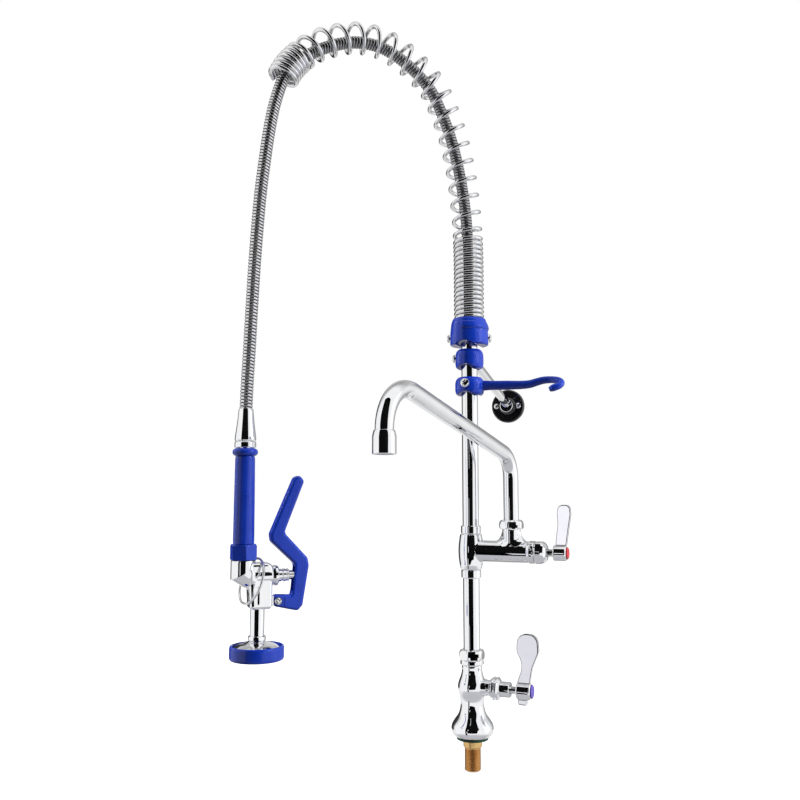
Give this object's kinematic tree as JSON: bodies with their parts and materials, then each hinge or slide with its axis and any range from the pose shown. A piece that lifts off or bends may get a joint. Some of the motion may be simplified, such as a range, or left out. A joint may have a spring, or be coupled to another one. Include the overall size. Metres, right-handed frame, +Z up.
{
  "type": "pre-rinse faucet",
  "caption": "Deck-mounted pre-rinse faucet: wall-braced riser, spring gooseneck with hose and spray valve, add-on valve with swing spout, lever handles and a side hook.",
  "frame": {"origin": "centre of the deck contact face, under the base gasket, on the riser's axis", "axes": "+Z up along the riser, +X along the two valve arms and the hook, +Y to the wall, -Y to the user"},
  "size_m": [0.3577, 0.4985, 0.9554],
  "materials": {
    "chrome": "mirror-polished chrome plate",
    "dark_chrome": "polished, dark",
    "brass": "machined",
    "blue_plastic": "satin-gloss royal blue",
    "stainless_steel": "polished stainless steel",
    "gasket_rubber": "matt",
    "white_plastic": "matt",
    "violet_plastic": "gloss",
    "red_plastic": "gloss",
    "braided_hose": "flexible stainless steel sheath"
  },
  "bodies": {
    "faucet": {"inlet_shank": "brass", "shank_collar": "brass", "base_gasket": "gasket_rubber", "base_body": "chrome", "base_bonnet": "chrome", "base_valve_cartridge": "brass", "riser_coupling_nut": "chrome", "riser_packing": "gasket_rubber", "lower_riser": "chrome", "tee_body": "chrome", "tee_lower_collar": "chrome", "tee_upper_collar": "chrome", "upper_riser": "chrome", "tee_bonnet": "chrome", "tee_valve_cartridge": "brass", "spout_nut": "chrome", "spout_washer": "gasket_rubber", "hook_arm": "blue_plastic", "hook_screw": "stainless_steel", "bracket_collar": "blue_plastic", "bracket_screw": "stainless_steel", "brace_strut": "chrome", "wall_flange": "dark_chrome", "flange_screw_left": "stainless_steel", "flange_screw_right": "stainless_steel", "spring_retainer": "blue_plastic", "retainer_screw_left": "stainless_steel", "retainer_screw_right": "stainless_steel", "hose_adapter": "stainless_steel"},
    "base_handle": {"base_lever": "chrome", "base_valve_stem": "stainless_steel", "base_valve_screw": "stainless_steel", "base_valve_index_button": "violet_plastic"},
    "tee_handle": {"tee_lever": "chrome", "tee_valve_stem": "stainless_steel", "tee_valve_screw": "stainless_steel", "tee_valve_index_button": "red_plastic"},
    "spout": {"spout_tube": "chrome", "aerator_shell": "chrome", "aerator_insert": "white_plastic"},
    "gooseneck": {"overhead_spring": "stainless_steel", "hose_upper": "braided_hose"},
    "hose_drop": {"hose_lower": "braided_hose", "hose_ferrule": "chrome"},
    "spray_valve": {"swivel_nut": "chrome", "grip_stop_ring": "blue_plastic", "spray_grip": "blue_plastic", "grip_lock_nut": "blue_plastic", "spray_body": "chrome", "valve_bonnet": "chrome", "valve_return_spring": "stainless_steel", "trigger_pin": "stainless_steel", "outlet_tube": "chrome", "nozzle_nut": "chrome", "spray_bell": "chrome", "spray_face": "stainless_steel", "spray_bumper": "blue_plastic"},
    "trigger": {"trigger_lever": "blue_plastic"},
    "plunger": {"valve_plunger": "stainless_steel"},
    "hold_ring": {"hold_ring": "stainless_steel"}
  },
  "joints": [
    {"name": "base_handle_turn", "type": "hinge", "parent": "faucet", "child": "base_handle", "pos_m": [0.0585, 0, 0.064], "axis": [1, 0, 0], "range_deg": [0, 90]},
    {"name": "tee_handle_turn", "type": "hinge", "parent": "faucet", "child": "tee_handle", "pos_m": [0.1078, 0, 0.234], "axis": [1, 0, 0], "range_deg": [0, 90]},
    {"name": "spout_swivel", "type": "hinge", "parent": "faucet", "child": "spout", "pos_m": [0.054, 0, 0.268], "axis": [0, 0, 1], "range_deg": [-8, 110]},
    {"name": "gooseneck_swing", "type": "hinge", "parent": "faucet", "child": "gooseneck", "pos_m": [0, 0, 0.528], "axis": [0, 0, 1], "range_deg": [-45, 20]},
    {"name": "hose_sway", "type": "hinge", "parent": "gooseneck", "child": "hose_drop", "pos_m": [-0.17925, -0.17925, 0.829], "axis": [0.7071, -0.7071, 0], "range_deg": [-8, 8], "stiffness_Nm_per_rad": 2.5},
    {"name": "spray_swivel", "type": "hinge", "parent": "hose_drop", "child": "spray_valve", "pos_m": [-0.2086, -0.2086, 0.364], "axis": [0, 0, 1], "range_deg": [-90, 90]},
    {"name": "trigger_squeeze", "type": "hinge", "parent": "spray_valve", "child": "trigger", "pos_m": [-0.18003, -0.18003, 0.183], "axis": [0.7071, -0.7071, 0], "range_deg": [0, 8], "stiffness_Nm_per_rad": 4, "springref_deg": -2.86},
    {"name": "plunger_travel", "type": "slide", "parent": "spray_valve", "child": "plunger", "axis": [-0.7071, -0.7071, 0], "range_m": [0, 0.0041], "deforming": ["valve_return_spring"]},
    {"name": "hold_ring_tilt", "type": "hinge", "parent": "spray_valve", "child": "hold_ring", "pos_m": [-0.20096, -0.20237, 0.2068], "axis": [0.7071, -0.7071, 0], "range_deg": [-2, 2]}
  ],
  "couplings": [
    {"joint": "plunger_travel", "follows": "trigger_squeeze", "m_per_rad": 0.0292}
  ]
}
